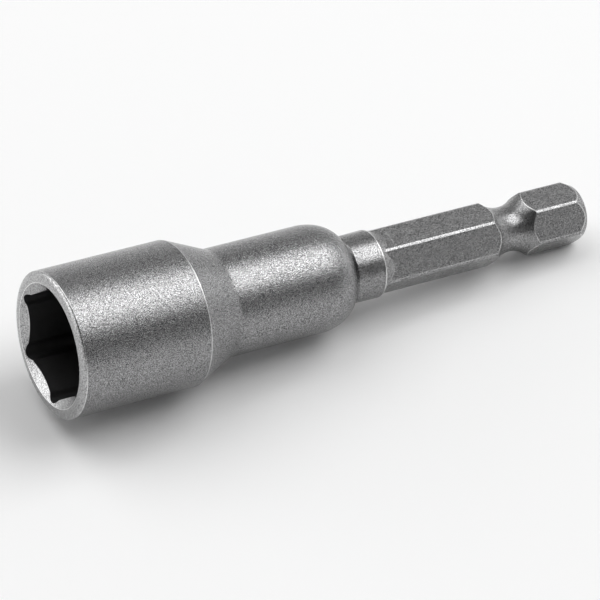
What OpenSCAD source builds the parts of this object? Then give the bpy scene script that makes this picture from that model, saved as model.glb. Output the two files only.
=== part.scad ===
// Magnetic nut setter: a hexagon socket barrel pressed onto a hexagon bit shank.
// Millimetres, +Z up. The tool lies along +X: the origin is the centre of the mouth
// face, on the turning axis, and the shank points along +X. Two flats of the shank's
// hexagon face +Z and -Z, so the tool lies on a flat and doesn't roll.
// Each module is drawn upright about its own +Z and laid along +X at the end.

/* [Overall] */
// Length from the mouth face to the end of the shank
overall_len = 65; // [60:0.5:120]

/* [Socket head] */
// Hexagon across flats, with the running fit on a 7/16 inch nut
socket_af = 11.3; // [9.5:0.1:12]
// Depth of the hexagon behind the mouth face
socket_depth = 11; // [8:0.5:13]
// Turn of the socket's hexagon, from corners at +Z and -Z, in degrees
socket_turn = -16; // [-30:1:30]
// Radius of the round relief in each corner of the hexagon
corner_relief_r = 1; // [0.8:0.05:1.3]
// How far each corner relief reaches past the hexagon's own corner
corner_relief_reach = 0.05; // [0.02:0.01:0.1]
// Width of the flat ledge on the socket's floor, inside the hexagon's flats
floor_ledge = 0.4; // [0.2:0.05:0.8]
// Diameter of the lead-in cone at the mouth face
lead_in_d = 13.5; // [13:0.1:13.8]
// Slope of the lead-in cone from the mouth face, in degrees
lead_in_slope = 31; // [20:1:45]
// Outside diameter of the head
head_d = 15.9; // [15.6:0.1:19]
// Length of the head, from the mouth face to the flare
head_len = 14.9; // [13:0.1:17]
// Width of the rounded rim outside the mouth face, measured outward
rim_round_w = 0.95; // [0.3:0.05:1]
// Length of the rounded rim, measured along the tool
rim_round_len = 0.35; // [0.2:0.05:0.8]
// How steep the rounded rim is where it meets the head's side, in degrees
rim_end_angle = 75; // [50:1:85]

/* [Neck] */
// Length of the cone between the head and the neck
flare_len = 4.65; // [3:0.05:7]
// Outside diameter of the neck
neck_d = 11.8; // [10.6:0.1:13]
// Length of the neck's straight part
neck_len = 11.35; // [8:0.05:13]
// Length of the rounded end of the neck
dome_len = 4.05; // [2:0.05:5]
// How steep the rounded end is where it meets the shank, in degrees
dome_end_angle = 82; // [60:1:88]

/* [Magnet] */
// Diameter of the magnet
magnet_d = 6.5; // [5:0.1:7]
// Length of the magnet
magnet_len = 9.2; // [6:0.1:11]
// How far the magnet's face stands out of the hexagon's floor
magnet_stand = 1; // [0.6:0.1:3]
// Edge chamfer of the magnet
magnet_chamfer = 0.25; // [0.1:0.05:0.5]
// Wall of the sleeve round the magnet
sleeve_wall = 0.5; // [0.3:0.05:0.8]
// How far the sleeve stops short of the magnet's face
sleeve_setback = 0.4; // [0.2:0.05:0.5]

/* [Drive shank] */
// Hexagon across flats, 1/4 inch nominal less its tolerance
drive_af = 6.3; // [6.2:0.01:6.4]
// Width over the hexagon's rounded corners
drive_corner_d = 7.1; // [6.8:0.01:7.2]
// Diameter of the collar where it meets the neck
collar_front_d = 7.4; // [7.2:0.02:7.6]
// Diameter of the collar at its rear edge
collar_rear_d = 7.5; // [7.4:0.02:7.8]
// Length of the collar
collar_len = 3.7; // [2:0.05:6]
// Length of the chamfer on the collar's front edge, beside the neck's rounded end
collar_chamfer_len = 0.4; // [0.2:0.05:0.8]
// Depth of that chamfer
collar_chamfer_depth = 0.2; // [0.05:0.05:0.25]
// Slope of the cone behind the collar from the axis, in degrees
collar_cone_slope = 23.5; // [15:0.5:40]
// Length of the cone on the shank's end
tip_cone_len = 1.05; // [0.6:0.05:2]
// Diameter of the shank's end where its cone stops
tip_d = 6; // [5.2:0.05:6.2]
// Break on the edge of the shank's end face
tip_break = 0.15; // [0.05:0.05:0.4]

/* [Power groove] */
// Distance from the shank's end to the front edge of the groove
groove_front = 11.9; // [11.5:0.05:12.5]
// Length of the hollow in front of the groove's lowest ring
groove_front_len = 2.75; // [1.5:0.05:3.5]
// Length of the hollow behind it
groove_rear_len = 2.6; // [1.5:0.05:3.5]
// Diameter of the groove's lowest ring
groove_d = 5; // [4.5:0.05:5.4]

/* [Press fit] */
// Diameter of the shank's spigot over its serrations
spigot_d = 6.6; // [6:0.05:6.8]
// Depth of the serrations
serration_depth = 0.25; // [0.1:0.05:0.4]
// Number of serrations round the spigot
serration_count = 24; // [12:1:36]
// Length of the spigot's plain pilot, ahead of the serrations
pilot_len = 4; // [1:0.5:7]
// Chamfer on the pilot's front edge
pilot_chamfer = 0.4; // [0.2:0.05:0.8]
// Gap drawn between each pair of pressed or bonded walls
press_gap = 0.01; // [0.005:0.005:0.05]

/* [Hidden] */

$fn = 96;
curve_steps = 16;
rim_steps = 8;
cut_past = 1;
// How deep the collar's cone ends inside the hexagon's flats
cone_dip = 0.25;
// Slope of the drilled cone under the socket's floor
floor_slope = 30;
// Turn that brings flats of the shank's hexagon to +Z and -Z
flat_down = 30;

head_r = head_d / 2;
neck_r = neck_d / 2;
collar_front_r = collar_front_d / 2;
collar_rear_r = collar_rear_d / 2;
spigot_r = spigot_d / 2;
corner_r = drive_corner_d / 2;
groove_r = groove_d / 2;
tip_r = tip_d / 2;
sleeve_r = magnet_d / 2 + press_gap + sleeve_wall;
pocket_r = sleeve_r + press_gap;
bore_r = spigot_r + press_gap;

flare_end = head_len + flare_len;
dome_start = flare_end + neck_len;
neck_end = dome_start + dome_len;
collar_end = neck_end + collar_len;
magnet_face = socket_depth - magnet_stand;
magnet_back = magnet_face + magnet_len;
groove_start = overall_len - groove_front;
groove_low = groove_start + groove_front_len;

// The hexagon's corner circle, from its width across flats
function hex_r(af) = af / 2 / cos(30);

// A point on the groove's hollow: t is 0 on its lowest ring and 1 at the edge run away from it
function groove_point(run, t) =
    let (end = 2 * atan((corner_r - groove_r) / abs(run)),
         bend = run / sin(end))
    [groove_r + abs(bend) * (1 - cos(end * t)), groove_low + bend * sin(end * t)];

// The rounded rim: part of an ellipse from the mouth face to the head's side
function rim_points() =
    let (w = rim_round_w / sin(rim_end_angle),
         len = rim_round_len / (1 - cos(rim_end_angle)))
    [for (i = [1 : rim_steps])
        let (a = rim_end_angle * i / rim_steps)
        [head_r - rim_round_w + w * sin(a), len * (1 - cos(a))]];

// The neck's rounded end: a quarter of an ellipse, stopped at the shank's collar
function dome_points() =
    let (drop = (neck_r - collar_front_r) / (1 - cos(dome_end_angle)),
         run = dome_len / sin(dome_end_angle))
    [for (i = [1 : curve_steps])
        let (a = dome_end_angle * i / curve_steps)
        [neck_r - drop * (1 - cos(a)), dome_start + run * sin(a)]];

module turned(points) rotate_extrude() polygon(points);

module along_x() rotate([0, 90, 0]) children();

// Outside of the barrel: rounded rim, head, flare, neck and rounded end
module barrel_outside() turned(concat(
    [[0, 0], [head_r - rim_round_w, 0]],
    rim_points(),
    [[head_r, head_len],
     [neck_r, flare_end],
     [neck_r, dome_start]],
    dome_points(),
    [[0, neck_end]]));

// The socket's hexagon with a round relief in each corner
module socket_hexagon() {
    centre_r = hex_r(socket_af) + corner_relief_reach - corner_relief_r;
    translate([0, 0, -cut_past]) rotate([0, 0, socket_turn]) {
        cylinder(r = hex_r(socket_af), h = socket_depth + cut_past, $fn = 6);
        for (k = [0 : 5])
            rotate([0, 0, 60 * k]) translate([centre_r, 0, 0])
                cylinder(r = corner_relief_r, h = socket_depth + cut_past, $fn = 48);
    }
}

// The countersink that guides the nut in, run on past the mouth face
module lead_in() {
    rise = tan(lead_in_slope);
    turned([
        [0, -cut_past],
        [lead_in_d / 2 + cut_past / rise, -cut_past],
        [0, lead_in_d / 2 * rise]]);
}

// The drilled magnet pocket with its cone, and the bore for the spigot
module through_bore() {
    floor_r = socket_af / 2 - floor_ledge;
    turned([
        [0, socket_depth - cut_past],
        [floor_r, socket_depth - cut_past],
        [floor_r, socket_depth],
        [pocket_r, socket_depth + (floor_r - pocket_r) * tan(floor_slope)],
        [pocket_r, magnet_back],
        [bore_r, magnet_back],
        [bore_r, neck_end + cut_past],
        [0, neck_end + cut_past]]);
}

module socket_barrel() color([0.56, 0.56, 0.57]) along_x() difference() {
    barrel_outside();
    socket_hexagon();
    lead_in();
    through_bore();
}

// Round collar that seats on the barrel's end, with the cone that runs into the hexagon
module collar() {
    cone_end_r = drive_af / 2 - cone_dip;
    cone_len = (collar_rear_r - cone_end_r) / tan(collar_cone_slope);
    turned([
        [0, neck_end],
        [collar_front_r - collar_chamfer_depth, neck_end],
        [collar_front_r, neck_end + collar_chamfer_len],
        [collar_rear_r, collar_end],
        [cone_end_r, collar_end + cone_len],
        [0, collar_end + cone_len]]);
}

// The turned envelope that rounds the hexagon's corners, cuts the groove and cones the end
module shank_envelope() {
    turned(concat(
        [[0, neck_end + collar_len / 2],
         [corner_r, neck_end + collar_len / 2]],
        [for (i = [curve_steps : -1 : 0]) groove_point(-groove_front_len, i / curve_steps)],
        [for (i = [1 : curve_steps]) groove_point(groove_rear_len, i / curve_steps)],
        [[corner_r, overall_len - tip_cone_len - tip_break],
         [tip_r, overall_len - tip_break],
         [tip_r - tip_break, overall_len],
         [0, overall_len]]));
}

module drive_hexagon() intersection() {
    rotate([0, 0, flat_down])
        cylinder(r = hex_r(drive_af), h = overall_len + cut_past, $fn = 6);
    shank_envelope();
}

// Plain pilot and straight serrations, pressed into the barrel's bore
module spigot() {
    root_r = spigot_r - serration_depth;
    serration_start = magnet_back + pilot_len;
    turned([
        [0, magnet_back],
        [root_r - pilot_chamfer, magnet_back],
        [root_r, magnet_back + pilot_chamfer],
        [root_r, neck_end + collar_len / 2],
        [0, neck_end + collar_len / 2]]);
    translate([0, 0, serration_start])
        linear_extrude(neck_end - serration_start)
            polygon([for (i = [0 : 2 * serration_count - 1])
                let (a = 180 * i / serration_count, r = i % 2 == 0 ? spigot_r : root_r)
                [r * cos(a), r * sin(a)]]);
}

module drive_shank() color([0.42, 0.42, 0.43]) along_x() {
    collar();
    drive_hexagon();
    spigot();
}

module magnet() color([0.72, 0.72, 0.74]) along_x() {
    r = magnet_d / 2;
    turned([
        [0, magnet_face],
        [r - magnet_chamfer, magnet_face],
        [r, magnet_face + magnet_chamfer],
        [r, magnet_back - magnet_chamfer],
        [r - magnet_chamfer, magnet_back],
        [0, magnet_back]]);
}

module magnet_sleeve() color([0.78, 0.62, 0.32]) along_x() turned([
    [magnet_d / 2 + press_gap, magnet_face + sleeve_setback],
    [sleeve_r, magnet_face + sleeve_setback],
    [sleeve_r, magnet_back],
    [magnet_d / 2 + press_gap, magnet_back]]);

socket_barrel();
drive_shank();
magnet();
magnet_sleeve();
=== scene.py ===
import math
import bpy
from mathutils import Matrix, Vector


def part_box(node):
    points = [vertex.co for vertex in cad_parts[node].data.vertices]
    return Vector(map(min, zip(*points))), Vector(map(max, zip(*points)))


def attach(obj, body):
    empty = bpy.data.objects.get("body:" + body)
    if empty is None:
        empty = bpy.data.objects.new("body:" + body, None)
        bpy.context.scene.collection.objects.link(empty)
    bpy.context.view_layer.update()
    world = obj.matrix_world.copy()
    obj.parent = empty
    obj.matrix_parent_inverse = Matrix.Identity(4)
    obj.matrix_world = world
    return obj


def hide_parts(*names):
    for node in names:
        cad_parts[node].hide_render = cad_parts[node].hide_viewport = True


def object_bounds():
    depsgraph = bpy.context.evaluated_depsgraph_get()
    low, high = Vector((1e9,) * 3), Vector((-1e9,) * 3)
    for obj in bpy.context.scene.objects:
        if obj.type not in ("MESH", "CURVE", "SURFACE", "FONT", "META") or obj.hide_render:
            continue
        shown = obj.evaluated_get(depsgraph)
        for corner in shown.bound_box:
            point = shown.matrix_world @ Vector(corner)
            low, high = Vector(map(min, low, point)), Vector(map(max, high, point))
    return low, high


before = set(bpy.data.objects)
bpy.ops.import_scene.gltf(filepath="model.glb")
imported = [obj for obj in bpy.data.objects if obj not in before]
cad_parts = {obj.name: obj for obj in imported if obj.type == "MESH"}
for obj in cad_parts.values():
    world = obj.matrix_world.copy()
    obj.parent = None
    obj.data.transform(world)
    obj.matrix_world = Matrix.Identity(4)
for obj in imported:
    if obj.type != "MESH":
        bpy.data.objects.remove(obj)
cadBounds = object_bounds()

# Magnetic nut setter, in metres. It lies along +X with its mouth face at the origin.
# Each piece is a turned profile, swept round the X axis by one Geometry Nodes tree that
# also cuts the socket's hexagon, the shank's flats and the spigot's serrations.
mm = 0.001
deg = math.pi / 180

barrelLow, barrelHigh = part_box("socket_barrel")
shankLow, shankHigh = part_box("drive_shank")
magnetLow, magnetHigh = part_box("magnet")
sleeveLow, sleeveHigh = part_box("magnet_sleeve")

# Node tools


def addNode(tree, kind, **settings):
    node = tree.nodes.new(kind)
    for name, value in settings.items():
        setattr(node, name, value)
    return node


def feed(tree, socket, value):
    # Links another node's output to a socket, or sets the socket's own value
    if isinstance(value, bpy.types.NodeSocket):
        tree.links.new(value, socket)
    else:
        socket.default_value = value


def mathStep(tree, operation, *values):
    node = addNode(tree, "ShaderNodeMath", operation=operation)
    for socket, value in zip(node.inputs, values):
        feed(tree, socket, value)
    return node.outputs[0]


def shifted(tree, value, share, change):
    return mathStep(tree, "ADD", value, mathStep(tree, "MULTIPLY", share, change))


def clamped(tree, value, most=1.0):
    return mathStep(tree, "MINIMUM", mathStep(tree, "MAXIMUM", value, 0.0), most)


def emptyTree(owner):
    owner.use_nodes = True
    owner.node_tree.nodes.clear()
    return owner.node_tree


def showSurface(tree, outputKind, shader):
    output = addNode(tree, outputKind)
    tree.links.new(shader.outputs[0], output.inputs["Surface"])


def placeInScene(name, data):
    placed = bpy.data.objects.new(name, data)
    bpy.context.scene.collection.objects.link(placed)
    return placed


# Profile tools. A profile is a list of corners, each a place along the axis and a radius

profileRules = {
    "supportGap": 0.02 * mm,  # a row stands this close to each end of a stretch
    "supportShare": 0.2,  # or at this share of a very short one
    "roundShare": 0.45,  # the most of a stretch that the round at its end takes
    "roundSteps": 5,
}

# What the stretch after a corner is cut by, as the tree reads it
plain, bySocket, byFlats, bySerrations, byConeOnFlats = 0, 1, 2, 3, 4
profileMarks = ("cut", "dark", "bare", "worn")


def corner(x, radius, edge=0.0, rows=1, cut=plain, dark=0.0, bare=0.0, worn=0.0):
    # edge is the corner's own round, and worn is how bright it has rubbed.
    # rows, cut, dark and bare hold for the stretch that follows it; dark is painted shade, a darker
    # colour where shade falls
    return {"place": Vector((x, radius)), "edge": edge, "rows": rows, "worn": worn,
            "marks": (cut, dark, bare)}


def arcCorners(start, end, endAngle, rows, outwards=False, **marks):
    # Corners on an arc, up to but not at its end, that leaves its start along the axis or outwards
    (startX, startRadius), (endX, endRadius) = start, end
    corners = []
    for i in range(rows):
        angle = endAngle * i / rows
        ahead = math.sin(angle) / math.sin(endAngle)
        aside = (1 - math.cos(angle)) / (1 - math.cos(endAngle))
        alongShare, radiusShare = (aside, ahead) if outwards else (ahead, aside)
        corners.append(corner(startX + (endX - startX) * alongShare,
                              startRadius + (endRadius - startRadius) * radiusShare, **marks))
    return corners


def roundPlaces(before, middle, after, radius):
    # A small round from the stretch before a corner to the stretch after it
    toBefore, toAfter = before - middle, after - middle
    halfAngle = toBefore.angle(toAfter) / 2
    share = profileRules["roundShare"]
    reach = min(radius / math.tan(halfAngle), share * toBefore.length, share * toAfter.length)
    first = middle + toBefore.normalized() * reach
    last = middle + toAfter.normalized() * reach
    steps = profileRules["roundSteps"]
    places = []
    for i in range(steps + 1):
        t = i / steps
        places.append(first * (1 - t) ** 2 + middle * 2 * t * (1 - t) + last * t ** 2)
    return places


def bendPoints(corners, i, closed):
    # One point at a sharp corner or the points of its round, each with its place and marks
    here = before = corners[i]
    places = [here["place"]]
    if closed or 0 < i < len(corners) - 1:
        before, after = corners[i - 1], corners[(i + 1) % len(corners)]
        if here["edge"]:
            places = roundPlaces(before["place"], here["place"], after["place"], here["edge"])
    middle, last = len(places) // 2, len(places) - 1
    points = []
    for k, place in enumerate(places):
        side = here if k >= middle else before
        worn = here["worn"] if last == 0 or 0 < k < last else 0.0
        points.append((place, *side["marks"], worn))
    return points


def stretchPoints(start, end, rows, marks):
    # Points between two places, with a row close to each end to hold the edges crisp
    length = (end - start).length
    if length == 0:
        return []
    close = min(profileRules["supportGap"] / length, profileRules["supportShare"])
    stations = {close, 1 - close, *(i / rows for i in range(1, rows))}
    return [(start.lerp(end, t), *marks, 0.0) for t in sorted(stations)]


def profilePoints(corners, closed):
    bends = [bendPoints(corners, i, closed) for i in range(len(corners))]
    points = []
    for i, here in enumerate(corners):
        points += bends[i]
        if closed or i < len(corners) - 1:
            end = bends[(i + 1) % len(corners)][0][0]
            points += stretchPoints(bends[i][-1][0], end, here["rows"], here["marks"])
    if closed:
        points.append(points[0])
    return points


def profileObject(name, points):
    # Edges along the profile, in the XZ plane, with the marks as attributes of its points
    mesh = bpy.data.meshes.new(name)
    places = [(point[0].x, 0, point[0].y) for point in points]
    mesh.from_pydata(places, [(i, i + 1) for i in range(len(places) - 1)], [])
    for k, mark in enumerate(profileMarks, 1):
        values = mesh.attributes.new(mark, "FLOAT", "POINT")
        for i, point in enumerate(points):
            values.data[i].value = point[k]
    return placeInScene(name, mesh)


# The tree that sweeps a profile and cuts it, with the values it takes where a piece sets none

turnInputs = {
    "Columns": ("NodeSocketInt", 96),
    "Socket Flats": ("NodeSocketFloat", 10 * mm),
    "Socket Turn": ("NodeSocketFloat", 0.0),
    "Relief Radius": ("NodeSocketFloat", 1 * mm),
    "Relief Reach": ("NodeSocketFloat", 0.05 * mm),
    "Socket Edge": ("NodeSocketFloat", 0.05 * mm),
    "Shank Flats": ("NodeSocketFloat", 6 * mm),
    "Shank Turn": ("NodeSocketFloat", 0.0),
    "Shank Corner": ("NodeSocketFloat", 3.55 * mm),
    "Shank Edge": ("NodeSocketFloat", 0.05 * mm),
    "Cone Blend": ("NodeSocketFloat", 0.1 * mm),
    "Wear Width": ("NodeSocketFloat", 0.04 * mm),
    "Wear": ("NodeSocketFloat", 0.0),
    "Bar Wear": ("NodeSocketFloat", 0.0),
    "Serrations": ("NodeSocketInt", 24),
    "Serration Depth": ("NodeSocketFloat", 0.2 * mm),
    "Finish": ("NodeSocketMaterial", None),
}

cutRules = {
    # wallFade: the painted shade on the socket's wall reaches full strength this far below the lead-in
    # cone
    "wallFade": 0.03 * mm,  # the socket's wall is fully dark this far below the lead-in cone
    "skinFade": 0.02 * mm,  # turned skin shows fully where a cut leaves it this far clear
    "coneSkin": 0.8,  # and never more than this on the cone behind the collar
    "barTolerance": 0.005 * mm,  # rows this near the bar's corners wear as the bar does
    "cutTolerance": 0.1,
    "mergeDistance": 0.001 * mm,
}

halfSixth = 30 * deg  # from a hexagon's corner to the middle of its flat


def hexagonRadius(tree, theta, turn, flats):
    # Distance from the axis to a hexagon's flats, and the angle from its nearest corner
    turned = mathStep(tree, "SUBTRACT", theta, turn)
    fromCorner = mathStep(tree, "PINGPONG", turned, halfSixth)
    fromFlat = mathStep(tree, "SUBTRACT", halfSixth, fromCorner)
    halfFlats = mathStep(tree, "MULTIPLY", flats, 0.5)
    return mathStep(tree, "DIVIDE", halfFlats, mathStep(tree, "COSINE", fromFlat)), fromCorner


def socketRadius(tree, inputs, theta):
    # The socket's hexagon joined with a round relief in each corner
    flats = inputs["Socket Flats"]
    flatRadius, fromCorner = hexagonRadius(tree, theta, inputs["Socket Turn"], flats)
    cornerRadius = mathStep(tree, "DIVIDE", flats, 2 * math.cos(halfSixth))
    reached = mathStep(tree, "ADD", cornerRadius, inputs["Relief Reach"])
    centre = mathStep(tree, "SUBTRACT", reached, inputs["Relief Radius"])
    across = mathStep(tree, "MULTIPLY", centre, mathStep(tree, "SINE", fromCorner))
    along = mathStep(tree, "MULTIPLY", centre, mathStep(tree, "COSINE", fromCorner))
    reliefSquare = mathStep(tree, "POWER", inputs["Relief Radius"], 2)
    rest = mathStep(tree, "SUBTRACT", reliefSquare, mathStep(tree, "POWER", across, 2))
    depth = mathStep(tree, "SQRT", mathStep(tree, "MAXIMUM", rest, 0.0))
    relief = mathStep(tree, "ADD", along, depth)
    return mathStep(tree, "SMOOTH_MAX", flatRadius, relief, inputs["Socket Edge"])


def serrationDepth(tree, inputs, theta):
    # Rises and falls evenly round the spigot, once for each serration
    turned = mathStep(tree, "MULTIPLY", theta, inputs["Serrations"])
    turns = mathStep(tree, "DIVIDE", turned, 2 * math.pi)
    tooth = mathStep(tree, "MULTIPLY", mathStep(tree, "PINGPONG", turns, 0.5), 2.0)
    return mathStep(tree, "MULTIPLY", tooth, inputs["Serration Depth"])


def sweptGrid(tree, inputs):
    # One grid row for each profile point, and one column for each step round the axis
    size = addNode(tree, "GeometryNodeAttributeDomainSize", component="MESH")
    feed(tree, size.inputs["Geometry"], inputs["Profile"])
    seam = mathStep(tree, "ADD", inputs["Columns"], 1)
    grid = addNode(tree, "GeometryNodeMeshGrid")
    feed(tree, grid.inputs["Vertices X"], size.outputs["Point Count"])
    feed(tree, grid.inputs["Vertices Y"], seam)
    index = addNode(tree, "GeometryNodeInputIndex").outputs[0]
    row = mathStep(tree, "FLOOR", mathStep(tree, "DIVIDE", mathStep(tree, "ADD", index, 0.5), seam))
    column = mathStep(tree, "SUBTRACT", index, mathStep(tree, "MULTIPLY", row, seam))
    turned = mathStep(tree, "MULTIPLY", column, 2 * math.pi)
    return grid.outputs["Mesh"], row, mathStep(tree, "DIVIDE", turned, inputs["Columns"])


def atRow(tree, inputs, row, source, kind="FLOAT"):
    # A value of the profile's point for each grid row
    sample = addNode(tree, "GeometryNodeSampleIndex", data_type=kind, domain="POINT")
    feed(tree, sample.inputs["Geometry"], inputs["Profile"])
    feed(tree, sample.inputs["Value"], source)
    feed(tree, sample.inputs["Index"], row)
    return sample.outputs[0]


def markAtRow(tree, inputs, row, mark):
    reader = addNode(tree, "GeometryNodeInputNamedAttribute", data_type="FLOAT")
    reader.inputs["Name"].default_value = mark
    return atRow(tree, inputs, row, reader.outputs["Attribute"])


def cutRadius(tree, inputs, theta, isCut, radius, socketWall, flats):
    # The radius that is left where a point's own cut is made
    bar = mathStep(tree, "SMOOTH_MIN", inputs["Shank Corner"], flats, inputs["Shank Edge"])
    left = {
        bySocket: mathStep(tree, "SMOOTH_MAX", radius, socketWall, inputs["Socket Edge"]),
        byFlats: mathStep(tree, "SMOOTH_MIN", radius, flats, inputs["Shank Edge"]),
        bySerrations: mathStep(tree, "SUBTRACT", radius, serrationDepth(tree, inputs, theta)),
        byConeOnFlats: mathStep(tree, "SMOOTH_MAX", radius, bar, inputs["Cone Blend"]),
    }
    final = radius
    for kind, changed in left.items():
        final = shifted(tree, final, isCut[kind], mathStep(tree, "SUBTRACT", changed, radius))
    return mathStep(tree, "MAXIMUM", final, 0.0)


def insideShare(tree, isCut, marks, radius, socketWall):
    # Painted shade, darkening the colour: marked stretches, and the socket's walls below the lead-in
    # cone
    beyond = mathStep(tree, "SUBTRACT", socketWall, radius)
    below = mathStep(tree, "DIVIDE", beyond, cutRules["wallFade"])
    wall = mathStep(tree, "MULTIPLY", isCut[bySocket], clamped(tree, below))
    return mathStep(tree, "MAXIMUM", marks["dark"], wall)


def bareShare(tree, isCut, marks, radius, flats):
    # Turned skin: marked stretches, and what a cut has left standing
    proud = {
        byFlats: (mathStep(tree, "SUBTRACT", flats, radius), 1.0),
        byConeOnFlats: (mathStep(tree, "SUBTRACT", radius, flats), cutRules["coneSkin"]),
    }
    bare = marks["bare"]
    for kind, (height, most) in proud.items():
        share = clamped(tree, mathStep(tree, "DIVIDE", height, cutRules["skinFade"]), most)
        bare = mathStep(tree, "MAXIMUM", bare, mathStep(tree, "MULTIPLY", share, isCut[kind]))
    return bare


def wornShare(tree, inputs, isCut, marks, radius, meeting):
    # Worn bright: marked edges, and the lines where a cut meets the turned body
    onBar = mathStep(tree, "COMPARE", radius, inputs["Shank Corner"], cutRules["barTolerance"])
    barChange = mathStep(tree, "SUBTRACT", inputs["Bar Wear"], inputs["Wear"])
    wear = shifted(tree, inputs["Wear"], onBar, barChange)
    worn = marks["worn"]
    for kind, other in meeting.items():
        apart = mathStep(tree, "ABSOLUTE", mathStep(tree, "SUBTRACT", radius, other))
        near = mathStep(tree, "SUBTRACT", 1.0, mathStep(tree, "DIVIDE", apart, inputs["Wear Width"]))
        rubbed = mathStep(tree, "MULTIPLY", mathStep(tree, "MAXIMUM", near, 0.0), wear)
        worn = mathStep(tree, "MAXIMUM", worn, mathStep(tree, "MULTIPLY", rubbed, isCut[kind]))
    return worn


def spotRoundAxis(tree, along, radius, theta):
    spot = addNode(tree, "ShaderNodeCombineXYZ")
    sine = mathStep(tree, "SINE", mathStep(tree, "MULTIPLY", theta, -1.0))
    feed(tree, spot.inputs["X"], along)
    feed(tree, spot.inputs["Y"], mathStep(tree, "MULTIPLY", radius, sine))
    feed(tree, spot.inputs["Z"], mathStep(tree, "MULTIPLY", radius, mathStep(tree, "COSINE", theta)))
    return spot.outputs[0]


def meshStep(tree, kind, mesh, values, **settings):
    # Sends the mesh on through one more node
    node = addNode(tree, kind, **settings)
    feed(tree, node.inputs["Geometry"], mesh)
    for name, value in values.items():
        feed(tree, node.inputs[name], value)
    return node.outputs[0]


def turnAndCutTree():
    tree = bpy.data.node_groups.new("turnAndCut", "GeometryNodeTree")
    tree.interface.new_socket("Profile", in_out="INPUT", socket_type="NodeSocketGeometry")
    for name, (kind, value) in turnInputs.items():
        newInput = tree.interface.new_socket(name, in_out="INPUT", socket_type=kind)
        if value is not None:
            newInput.default_value = value
    tree.interface.new_socket("Piece", in_out="OUTPUT", socket_type="NodeSocketGeometry")
    entry = addNode(tree, "NodeGroupInput")
    inputs = {output.name: output for output in entry.outputs if output.name}

    # The profile's place and marks, spread over the grid
    mesh, row, theta = sweptGrid(tree, inputs)
    position = addNode(tree, "GeometryNodeInputPosition").outputs[0]
    place = addNode(tree, "ShaderNodeSeparateXYZ")
    feed(tree, place.inputs["Vector"], atRow(tree, inputs, row, position, "FLOAT_VECTOR"))
    along, radius = place.outputs["X"], place.outputs["Z"]
    marks = {mark: markAtRow(tree, inputs, row, mark) for mark in profileMarks}
    isCut = {kind: mathStep(tree, "COMPARE", marks["cut"], float(kind), cutRules["cutTolerance"])
             for kind in (bySocket, byFlats, bySerrations, byConeOnFlats)}

    # The cuts, and what the finishes read
    socketWall = socketRadius(tree, inputs, theta)
    flats, _ = hexagonRadius(tree, theta, inputs["Shank Turn"], inputs["Shank Flats"])
    final = cutRadius(tree, inputs, theta, isCut, radius, socketWall, flats)
    meeting = {bySocket: socketWall, byFlats: flats}
    finishMarks = {
        "inside": insideShare(tree, isCut, marks, radius, socketWall),
        "bare": bareShare(tree, isCut, marks, radius, flats),
        "worn": wornShare(tree, inputs, isCut, marks, radius, meeting),
    }
    for name, value in finishMarks.items():
        mesh = meshStep(tree, "GeometryNodeStoreNamedAttribute", mesh, {"Name": name, "Value": value},
                        data_type="FLOAT", domain="POINT")
    spot = spotRoundAxis(tree, along, final, theta)
    mesh = meshStep(tree, "GeometryNodeSetPosition", mesh, {"Position": spot})
    mesh = meshStep(tree, "GeometryNodeMergeByDistance", mesh, {"Distance": cutRules["mergeDistance"]})
    mesh = meshStep(tree, "GeometryNodeSetShadeSmooth", mesh, {})
    mesh = meshStep(tree, "GeometryNodeRealizeInstances", mesh, {})
    mesh = meshStep(tree, "GeometryNodeSetMaterial", mesh, {"Material": inputs["Finish"]})
    feed(tree, addNode(tree, "NodeGroupOutput").inputs[0], mesh)
    return tree


def signedVolume(mesh):
    mesh.calc_loop_triangles()
    total = 0
    for triangle in mesh.loop_triangles:
        a, b, c = (mesh.vertices[i].co for i in triangle.vertices)
        total += a.dot(b.cross(c)) / 6
    return total


def turnedPiece(name, corners, closed, settings):
    # Sends a profile through the tree, then keeps the result as a plain mesh
    maker = profileObject(name + "Profile", profilePoints(corners, closed))
    modifier = maker.modifiers.new("turnAndCut", "NODES")
    modifier.node_group = turnTree
    for socket in turnTree.interface.items_tree:
        if socket.in_out == "INPUT" and socket.name in settings:
            modifier[socket.identifier] = settings[socket.name]
    graph = bpy.context.evaluated_depsgraph_get()
    mesh = bpy.data.meshes.new_from_object(maker.evaluated_get(graph))
    bpy.data.objects.remove(maker)
    mesh.name = name
    if signedVolume(mesh) < 0:
        mesh.flip_normals()
    print(name, "has", len(mesh.polygons), "faces and holds",
          round(abs(signedVolume(mesh)) / mm ** 3), "cubic millimetres")
    return placeInScene(name, mesh)


def dress(piece, node):
    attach(piece, "root")
    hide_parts(node)


# Finishes

# A pattern is a noise, with its size, its detail, the range of its values that is used,
# the depth of its bumps, and its scale along X, Y and Z where that is uneven
blastedLook = {
    "light": (0.47, 0.47, 0.474),
    "dark": (0.05, 0.05, 0.052),
    "grain": {"size": 0.078 * mm, "detail": 3, "range": (0.415, 0.585), "depth": 0.027 * mm},
    "pits": {"size": 0.40 * mm, "detail": 2, "range": (0.3, 0.7), "depth": 0.006 * mm},
    "mottle": {"size": 0.16 * mm, "detail": 3, "range": (0.38, 0.62)},
    "bareLight": (0.62, 0.62, 0.623),
    "bareDark": (0.22, 0.22, 0.222),
    "bareCover": 0.8,  # how far the turned skin's colour hides the blasted one
    "bareGrain": 0.6,  # how much of the blasted grain is felt on it
    "bareRoughness": 0.24,
    "roughness": 0.22,
    "roughnessSpread": (0.05, 0.05),
    "worn": (0.88, 0.88, 0.88),
    # the colour of the painted shade in the socket, bore and pocket
    "inside": (0.11, 0.11, 0.112),
    "insideRoughness": 0.42,
}

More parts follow.
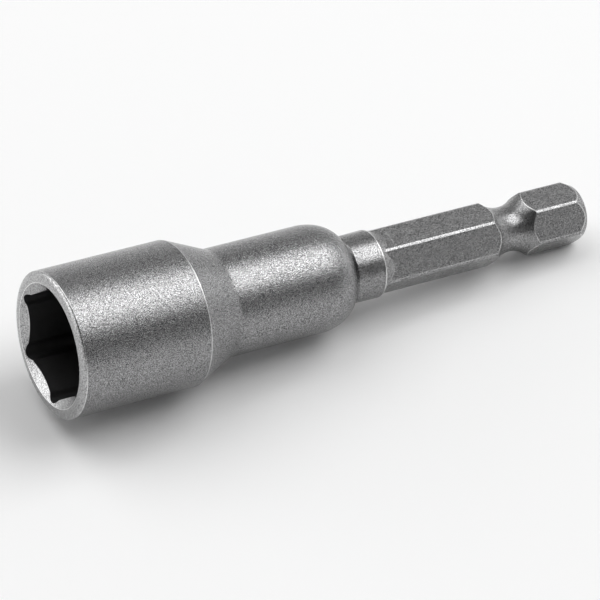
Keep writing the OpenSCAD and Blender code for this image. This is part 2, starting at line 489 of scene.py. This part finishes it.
drawnLook = {
    "light": (0.56, 0.56, 0.563),
    "dark": (0.11, 0.11, 0.112),
    "grain": {"size": 0.10 * mm, "detail": 3, "range": (0.39, 0.61), "depth": 0.016 * mm},
    "nicks": {"size": 0.8 * mm, "detail": 4, "range": (0.3, 0.7), "depth": 0.006 * mm,
              "scale": (0.6, 1, 1)},
    "collarShade": 0.74,  # how bright turned skin is beside the drawn flats
    "roughness": 0.25,
    "roughnessSpread": (0.06, 0.08),
    "worn": (0.88, 0.88, 0.88),
    # the colour of the painted shade in the crevice beside the barrel's dome
    "inside": (0.08, 0.08, 0.08),
}

platingLook = {
    "colour": (0.55, 0.55, 0.56),
    "rings": {"size": 0.12 * mm, "detail": 2, "range": (0.3, 0.7), "depth": 0.002 * mm,
              "scale": (1, 0.05, 0.05)},
    "roughness": 0.22,
    "roughnessSpread": (0.05, 0.05),
}

brassLook = {
    "colour": (0.60, 0.42, 0.17),
    "rings": {"size": 0.15 * mm, "detail": 2, "range": (0.3, 0.7), "depth": 0.003 * mm,
              "scale": (1, 0.05, 0.05)},
    "roughness": 0.30,
    "roughnessSpread": (0.05, 0.05),
}

noiseRoughness = 0.6  # how strong the finer layers of a noise are


def newMetal(name):
    material = bpy.data.materials.new(name)
    tree = emptyTree(material)
    shader = addNode(tree, "ShaderNodeBsdfPrincipled")
    shader.inputs["Metallic"].default_value = 1
    showSurface(tree, "ShaderNodeOutputMaterial", shader)
    spot = addNode(tree, "ShaderNodeTexCoord").outputs["Object"]
    return material, tree, shader, spot


def noise(tree, spot, pattern):
    placed = addNode(tree, "ShaderNodeMapping")
    feed(tree, placed.inputs["Vector"], spot)
    placed.inputs["Scale"].default_value = pattern.get("scale", (1, 1, 1))
    texture = addNode(tree, "ShaderNodeTexNoise")
    feed(tree, texture.inputs["Vector"], placed.outputs[0])
    texture.inputs["Scale"].default_value = 1 / pattern["size"]
    texture.inputs["Detail"].default_value = pattern["detail"]
    texture.inputs["Roughness"].default_value = noiseRoughness
    return texture.outputs[0]


def spread(tree, value, fromRange, toRange=(0.0, 1.0)):
    ranged = addNode(tree, "ShaderNodeMapRange")
    feed(tree, ranged.inputs["Value"], value)
    for name, number in zip(("From Min", "From Max", "To Min", "To Max"), (*fromRange, *toRange)):
        ranged.inputs[name].default_value = number
    return ranged.outputs[0]


def mixColour(tree, factor, first, second):
    # The node's inputs 6 and 7 and its output 2 are the ones that hold colours
    mix = addNode(tree, "ShaderNodeMix", data_type="RGBA")
    feed(tree, mix.inputs["Factor"], factor)
    for socket, colour in ((mix.inputs[6], first), (mix.inputs[7], second)):
        feed(tree, socket, colour if isinstance(colour, bpy.types.NodeSocket) else (*colour, 1))
    return mix.outputs[2]


def bump(tree, height, depth, before=None, strength=1.0):
    node = addNode(tree, "ShaderNodeBump")
    node.inputs["Distance"].default_value = depth
    feed(tree, node.inputs["Strength"], strength)
    feed(tree, node.inputs["Height"], height)
    if before:
        feed(tree, node.inputs["Normal"], before)
    return node.outputs[0]


def meshValue(tree, name):
    return addNode(tree, "ShaderNodeAttribute", attribute_name=name).outputs["Fac"]


def unevenRoughness(tree, value, pattern, look):
    less, more = look["roughnessSpread"]
    return spread(tree, value, pattern["range"], (look["roughness"] - less, look["roughness"] + more))


def blastedSteel(look):
    material, tree, shader, spot = newMetal("blastedSteel")
    grain, pits, mottle = (noise(tree, spot, look[name]) for name in ("grain", "pits", "mottle"))
    inside, bare, worn = (meshValue(tree, name) for name in ("inside", "bare", "worn"))

    grainShare = spread(tree, grain, look["grain"]["range"])
    mottleShare = spread(tree, mottle, look["mottle"]["range"])
    colour = mixColour(tree, grainShare, look["dark"], look["light"])
    bareColour = mixColour(tree, mottleShare, look["bareDark"], look["bareLight"])
    colour = mixColour(tree, mathStep(tree, "MULTIPLY", bare, look["bareCover"]), colour, bareColour)
    colour = mixColour(tree, worn, colour, look["worn"])
    # painted shade darkens the colour where the socket, bore and pocket lie in shade
    feed(tree, shader.inputs["Base Color"], mixColour(tree, inside, colour, look["inside"]))

    roughness = unevenRoughness(tree, pits, look["pits"], look)
    roughness = shifted(tree, roughness, bare, look["bareRoughness"] - look["roughness"])
    roughness = shifted(tree, roughness, inside, look["insideRoughness"] - look["roughness"])
    feed(tree, shader.inputs["Roughness"], roughness)

    felt = shifted(tree, 1.0, bare, look["bareGrain"] - 1.0)
    normal = bump(tree, pits, look["pits"]["depth"])
    normal = bump(tree, grain, look["grain"]["depth"], normal, felt)
    feed(tree, shader.inputs["Normal"], normal)
    return material


def drawnSteel(look):
    material, tree, shader, spot = newMetal("drawnSteel")
    grain, nicks = (noise(tree, spot, look[name]) for name in ("grain", "nicks"))
    inside, bare, worn = (meshValue(tree, name) for name in ("inside", "bare", "worn"))

    colour = mixColour(tree, spread(tree, grain, look["grain"]["range"]), look["dark"], look["light"])
    shaded = addNode(tree, "ShaderNodeVectorMath", operation="SCALE")
    feed(tree, shaded.inputs["Vector"], colour)
    feed(tree, shaded.inputs["Scale"], shifted(tree, 1.0, bare, look["collarShade"] - 1.0))
    colour = mixColour(tree, worn, shaded.outputs[0], look["worn"])
    # painted shade darkens the colour in the crevice beside the barrel's dome
    feed(tree, shader.inputs["Base Color"], mixColour(tree, inside, colour, look["inside"]))

    feed(tree, shader.inputs["Roughness"], unevenRoughness(tree, nicks, look["nicks"], look))
    normal = bump(tree, nicks, look["nicks"]["depth"])
    feed(tree, shader.inputs["Normal"], bump(tree, grain, look["grain"]["depth"], normal))
    return material


def turnedMetal(name, look):
    # A plain turned metal with faint rings round the X axis
    material, tree, shader, spot = newMetal(name)
    rings = noise(tree, spot, look["rings"])
    shader.inputs["Base Color"].default_value = (*look["colour"], 1)
    feed(tree, shader.inputs["Roughness"], unevenRoughness(tree, rings, look["rings"], look))
    feed(tree, shader.inputs["Normal"], bump(tree, rings, look["rings"]["depth"]))
    return material


print("finishes")
blasted = blastedSteel(blastedLook)
drawn = drawnSteel(drawnLook)
plating = turnedMetal("magnetPlating", platingLook)
brass = turnedMetal("sleeveBrass", brassLook)
turnTree = turnAndCutTree()

# Barrel: mouth, head, flare, neck and rounded end outside; hexagon, pocket and bore inside

barrel = {
    "rimWidth": 0.95 * mm,
    "rimLength": 0.35 * mm,
    "rimEndAngle": 75 * deg,
    "rimRound": 0.24 * mm,
    "rimRows": 12,
    "headLength": 14.9 * mm,
    "headEndRound": 0.30 * mm,
    "headEndWear": 0.6,
    "flareLength": 4.65 * mm,
    "flareRound": 1.44 * mm,
    "neckRadius": 5.9 * mm,
    "neckLength": 11.35 * mm,
    "domeEndAngle": 82 * deg,
    "domeRows": 28,
    "seatRadius": 3.7 * mm,
    "seatRound": 0.09 * mm,
    "leadInRadius": 6.75 * mm,
    "leadInSlope": 31 * deg,
    "leadInRound": 0.12 * mm,
    "leadInRows": 52,
    "socketFlats": 11.3 * mm,
    "socketTurn": -16 * deg,
    "socketDepth": 11 * mm,
    "socketRound": 0.12 * mm,
    "wallOffset": 0.35 * mm,
    "floorLedge": 0.4 * mm,
    "floorSlope": 30 * deg,
    "reliefRadius": 1.0 * mm,
    "reliefReach": 0.05 * mm,
    "pocketGap": 0.01 * mm,
    "boreRadius": 3.31 * mm,
    "edgeRound": 0.06 * mm,
    "wear": 1.0,
    "wearWidth": 0.05 * mm,
    "columns": 360,
}


def makeBarrel(size):
    headRadius, rearEnd = barrelHigh.z, barrelHigh.x
    neckRadius, seatRadius, boreRadius = size["neckRadius"], size["seatRadius"], size["boreRadius"]
    flareEnd = size["headLength"] + size["flareLength"]
    domeStart = flareEnd + size["neckLength"]
    pocketRadius, pocketEnd = sleeveHigh.z + size["pocketGap"], magnetHigh.x
    floorRadius = size["socketFlats"] / 2 - size["floorLedge"]
    wallRadius = size["socketFlats"] / 2 - size["wallOffset"]
    leadInDepth = (size["leadInRadius"] - wallRadius) * math.tan(size["leadInSlope"])
    floorEnd = size["socketDepth"] + (floorRadius - pocketRadius) * math.tan(size["floorSlope"])
    edge, wear = size["edgeRound"], size["wear"]
    rim = arcCorners((0, headRadius - size["rimWidth"]), (size["rimLength"], headRadius),
                     size["rimEndAngle"], size["rimRows"], outwards=True, bare=1)
    dome = arcCorners((domeStart, neckRadius), (rearEnd, seatRadius),
                      size["domeEndAngle"], size["domeRows"])
    corners = [
        *rim,
        corner(size["rimLength"], headRadius, size["rimRound"], rows=5, worn=wear),
        corner(size["headLength"], headRadius, size["headEndRound"], rows=4, worn=size["headEndWear"]),
        corner(flareEnd, neckRadius, size["flareRound"], rows=5),
        *dome,
        corner(rearEnd, seatRadius, size["seatRound"], rows=2),
        # dark=1 paints shade on the bore, pocket and socket floor
        corner(rearEnd, boreRadius, edge, rows=4, dark=1),
        corner(pocketEnd, boreRadius, dark=1),
        corner(pocketEnd, pocketRadius, rows=4, dark=1),
        corner(floorEnd, pocketRadius, edge, rows=2, dark=1),
        corner(size["socketDepth"], floorRadius, edge, rows=2, dark=1),
        corner(size["socketDepth"], wallRadius, rows=5, cut=bySocket),
        corner(leadInDepth, wallRadius, rows=size["leadInRows"], cut=bySocket, bare=1),
        corner(0, size["leadInRadius"], size["leadInRound"], rows=3, bare=1, worn=wear),
    ]
    return turnedPiece("socketBarrel", corners, True, {
        "Columns": size["columns"],
        "Socket Flats": size["socketFlats"],
        "Socket Turn": size["socketTurn"],
        "Relief Radius": size["reliefRadius"],
        "Relief Reach": size["reliefReach"],
        "Socket Edge": size["socketRound"],
        "Wear Width": size["wearWidth"],
        "Wear": wear,
        "Finish": blasted,
    })


print("barrel")
dress(makeBarrel(barrel), "socket_barrel")

# Shank: pressed spigot, collar, cone, hexagon, power groove and coned end

shank = {
    "spigotRadius": 3.3 * mm,
    "serrationDepth": 0.25 * mm,
    "serrations": 24,
    "pilotLength": 4 * mm,
    "pilotChamfer": 0.4 * mm,
    "stepLength": 0.01 * mm,
    "collarFrontRadius": 3.7 * mm,
    "collarRearRadius": 3.75 * mm,
    "collarLength": 3.7 * mm,
    "collarFrontRound": 0.24 * mm,
    "collarRearRound": 0.30 * mm,
    "chamferLength": 0.4 * mm,
    "chamferDepth": 0.2 * mm,
    # valleyPaintedShade: how far painted shade darkens the chamfer between the barrel's dome and the
    # collar
    "valleyPaintedShade": 0.45,
    "coneSlope": 23.5 * deg,
    "coneSink": 0.3 * mm,
    "coneBlend": 0.12 * mm,
    "coneRows": 38,
    "flats": 6.3 * mm,
    "flatsTurn": 30 * deg,
    "cornerRadius": 3.55 * mm,
    "grooveFront": 11.9 * mm,
    "grooveFrontLength": 2.75 * mm,
    "grooveRearLength": 2.6 * mm,
    "grooveRadius": 2.5 * mm,
    "grooveRows": 27,
    "tipCone": 1.05 * mm,
    "tipConeRound": 0.36 * mm,
    "tipConeRows": 26,
    "tipRadius": 3.0 * mm,
    "tipBreak": 0.15 * mm,
    "tipRound": 0.12 * mm,
    "edgeRound": 0.06 * mm,
    "wear": 0.9,
    "barWear": 0.10,
    "wearWidth": 0.05 * mm,
    "columns": 288,
}


def grooveSide(size, lowestX, edgeX):
    # A round hollow from the groove's lowest ring, where it leaves along the axis, to its edge
    depth = size["cornerRadius"] - size["grooveRadius"]
    endAngle = 2 * math.atan(depth / abs(edgeX - lowestX))
    return arcCorners((lowestX, size["grooveRadius"]), (edgeX, size["cornerRadius"]),
                      endAngle, size["grooveRows"], cut=byFlats)


def makeShank(size):
    start, seat, end = shankLow.x, barrelHigh.x, shankHigh.x
    rootRadius = size["spigotRadius"] - size["serrationDepth"]
    serrationStart = start + size["pilotLength"]
    collarFront, collarRear = size["collarFrontRadius"], size["collarRearRadius"]
    collarEnd = seat + size["collarLength"]
    coneRadius = size["flats"] / 2 - size["coneSink"]
    coneEnd = collarEnd + (collarRear - coneRadius) / math.tan(size["coneSlope"])
    grooveStart = end - size["grooveFront"]
    grooveLowest = grooveStart + size["grooveFrontLength"]
    grooveEnd = grooveLowest + size["grooveRearLength"]
    tipStart = end - size["tipCone"] - size["tipBreak"]
    full, edge, wear = size["cornerRadius"], size["edgeRound"], size["wear"]
    corners = [
        corner(start, 0, rows=2),
        corner(start, rootRadius - size["pilotChamfer"], edge, rows=2),
        corner(start + size["pilotChamfer"], rootRadius, edge, rows=2),
        corner(serrationStart, rootRadius, cut=bySerrations),
        corner(serrationStart + size["stepLength"], size["spigotRadius"], rows=2, cut=bySerrations),
        corner(seat, size["spigotRadius"]),
        # painted shade on this chamfer, where the barrel's dome shades the collar
        corner(seat, collarFront - size["chamferDepth"], rows=3, dark=size["valleyPaintedShade"], bare=1),
        corner(seat + size["chamferLength"], collarFront, size["collarFrontRound"], rows=4, bare=1),
        corner(collarEnd, collarRear, size["collarRearRound"], rows=size["coneRows"],
               cut=byConeOnFlats, worn=wear),
        corner(coneEnd, coneRadius, cut=byFlats),
        corner(coneEnd + size["stepLength"], full, rows=5, cut=byFlats),
        corner(grooveStart, full, cut=byFlats),
        *reversed(grooveSide(size, grooveLowest, grooveStart)),
        *grooveSide(size, grooveLowest, grooveEnd)[1:],
        corner(grooveEnd, full, cut=byFlats),
        corner(tipStart, full, size["tipConeRound"], rows=size["tipConeRows"], cut=byFlats),
        corner(end - size["tipBreak"], size["tipRadius"], size["tipRound"], rows=3, cut=byFlats),
        corner(end, size["tipRadius"] - size["tipBreak"], size["tipRound"], rows=4, cut=byFlats),
        corner(end, 0),
    ]
    return turnedPiece("driveShank", corners, False, {
        "Columns": size["columns"],
        "Shank Flats": size["flats"],
        "Shank Turn": size["flatsTurn"],
        "Shank Corner": full,
        "Shank Edge": edge,
        "Cone Blend": size["coneBlend"],
        "Wear Width": size["wearWidth"],
        "Wear": wear,
        "Bar Wear": size["barWear"],
        "Serrations": size["serrations"],
        "Serration Depth": size["serrationDepth"],
        "Finish": drawn,
    })


print("shank")
dress(makeShank(shank), "drive_shank")

# Magnet and the sleeve that centres it in its pocket

magnet = {"chamfer": 0.25 * mm, "edgeRound": 0.08 * mm, "columns": 128}
sleeve = {"gap": 0.01 * mm, "edgeRound": 0.06 * mm, "columns": 128}


def makeMagnet(size):
    radius, chamfer, edge = magnetHigh.z, size["chamfer"], size["edgeRound"]
    face, back = magnetLow.x, magnetHigh.x
    corners = [
        corner(face, 0, rows=3),
        corner(face, radius - chamfer, edge, rows=2),
        corner(face + chamfer, radius, edge, rows=4),
        corner(back - chamfer, radius, edge, rows=2),
        corner(back, radius - chamfer, edge, rows=3),
        corner(back, 0),
    ]
    return turnedPiece("magnetDisc", corners, False, {"Columns": size["columns"], "Finish": plating})


def makeSleeve(size):
    inner, outer = magnetHigh.z + size["gap"], sleeveHigh.z
    front, back, edge = sleeveLow.x, sleeveHigh.x, size["edgeRound"]
    corners = [
        corner(front, inner, edge, rows=2),
        corner(front, outer, edge, rows=4),
        corner(back, outer, edge, rows=2),
        corner(back, inner, edge, rows=4),
    ]
    return turnedPiece("magnetSleeve", corners, True, {"Columns": size["columns"], "Finish": brass})


print("magnet and sleeve")
dress(makeMagnet(magnet), "magnet")
dress(makeSleeve(sleeve), "magnet_sleeve")

# Camera at the photograph's angle

cameraSetup = {
    "aim": Vector((29.53, -1.35, -1.33)) * mm,
    "azimuth": -35.970 * deg,
    "elevation": 39.359 * deg,
    "roll": 10.151 * deg,
    "distance": 447.49 * mm,
    "lens": 252.0,
    "sensorWidth": 36.0,
    "clipStart": 0.01,
    "clipEnd": 20.0,
}


def makeCamera(setup):
    turn, tilt = setup["azimuth"], setup["elevation"]
    back = Vector((math.sin(turn) * math.cos(tilt), -math.cos(turn) * math.cos(tilt), math.sin(tilt)))
    camera = placeInScene("camera", bpy.data.cameras.new("camera"))
    camera.data.lens = setup["lens"]
    camera.data.sensor_width = setup["sensorWidth"]
    camera.data.clip_start = setup["clipStart"]
    camera.data.clip_end = setup["clipEnd"]
    look = (-back).to_track_quat("-Z", "Y").to_matrix().to_4x4()
    camera.matrix_world = (Matrix.Translation(setup["aim"] + back * setup["distance"])
                           @ look @ Matrix.Rotation(setup["roll"], 4, "Z"))
    bpy.context.scene.camera = camera


print("camera")
makeCamera(cameraSetup)

# Studio: a white floor, a plain grey room and four soft lamps

studio = {
    "floorColour": (0.97, 0.97, 0.97),
    "floorReach": 3.0,
    "horizonLight": 0.62,
    "roomLight": 0.55,
    "overheadLight": 0.32,
    "dimAbove": 0.30,  # this and the next are heights, from 0 at the horizon to 1 overhead
    "darkAbove": 0.60,
    "towardsEnd": 0.22,
    "behind": 0.20,
    "lampDistance": 1.5,
}

# Each lamp's direction from the tool, its size in metres and its power in watts
lamps = {
    "key": {"towards": (0.454, -0.11, 0.88), "size": (1.33, 0.95), "power": 12.5},
    "left": {"towards": (-0.80, 0.56, 0.10), "size": (1.5, 0.8), "power": 8.0},
    "top": {"towards": (-0.32, 0.48, 0.82), "size": (1.2, 1.2), "power": 7.4},
    "rear": {"towards": (0.92, 0.05, 0.36), "size": (1.0, 0.8), "power": 2.0},
}


def floorHeight(x):
    # The tool lies on its head's rear edge and on the end of the shank's lowest flat,
    # so the floor slopes up towards the shank's end
    headX, headZ = barrel["headLength"], barrelLow.z
    coneSlope = (shank["cornerRadius"] - shank["tipRadius"]) / shank["tipCone"]
    endZ = -shank["flats"] / 2
    endX = shankHigh.x - shank["tipBreak"] + (shank["tipRadius"] + endZ) / coneSlope
    slope = (endZ - headZ) / (endX - headX)
    return headZ + (x - headX) * slope


def makeFloor(setup):
    reach = setup["floorReach"]
    mesh = bpy.data.meshes.new("floor")
    mesh.from_pydata([(x, y, floorHeight(x))
                      for x, y in ((-reach, -reach), (reach, -reach), (reach, reach), (-reach, reach))],
                     [], [(0, 1, 2, 3)])
    material = bpy.data.materials.new("whiteFloor")
    tree = emptyTree(material)
    paint = addNode(tree, "ShaderNodeBsdfDiffuse")
    paint.inputs["Color"].default_value = (*setup["floorColour"], 1)
    showSurface(tree, "ShaderNodeOutputMaterial", paint)
    mesh.materials.append(material)
    floor = placeInScene("floor", mesh)


def makeRoom(setup):
    # Light from all round, dimmer upwards, and a little more from the shank's end and from behind
    world = bpy.data.worlds.new("room")
    bpy.context.scene.world = world
    tree = emptyTree(world)
    direction = addNode(tree, "ShaderNodeSeparateXYZ")
    feed(tree, direction.inputs["Vector"], addNode(tree, "ShaderNodeTexCoord").outputs["Generated"])
    upwards = direction.outputs["Z"]
    lower = spread(tree, upwards, (0.0, setup["dimAbove"]), (setup["horizonLight"], setup["roomLight"]))
    upper = spread(tree, upwards, (setup["dimAbove"], setup["darkAbove"]),
                   (setup["roomLight"], setup["overheadLight"]))
    light = mathStep(tree, "MINIMUM", lower, upper)
    for axis, share in (("X", "towardsEnd"), ("Y", "behind")):
        light = shifted(tree, light, direction.outputs[axis], setup[share])
    background = addNode(tree, "ShaderNodeBackground")
    feed(tree, background.inputs["Strength"], light)
    showSurface(tree, "ShaderNodeOutputWorld", background)


def makeLamp(name, setup, distance):
    light = bpy.data.lights.new(name, "AREA")
    light.shape = "RECTANGLE"
    light.size, light.size_y = setup["size"]
    light.energy = setup["power"]
    lamp = placeInScene(name, light)
    towards = Vector(setup["towards"]).normalized()
    middle = Vector(((cadBounds[0].x + cadBounds[1].x) / 2, 0, 0))
    lamp.location = middle + towards * distance
    lamp.rotation_euler = (-towards).to_track_quat("-Z", "Y").to_euler()


print("studio")
makeFloor(studio)
makeRoom(studio)
for lampName, lampSetup in lamps.items():
    makeLamp(lampName, lampSetup, studio["lampDistance"])
bpy.context.scene.view_settings.view_transform = "Standard"
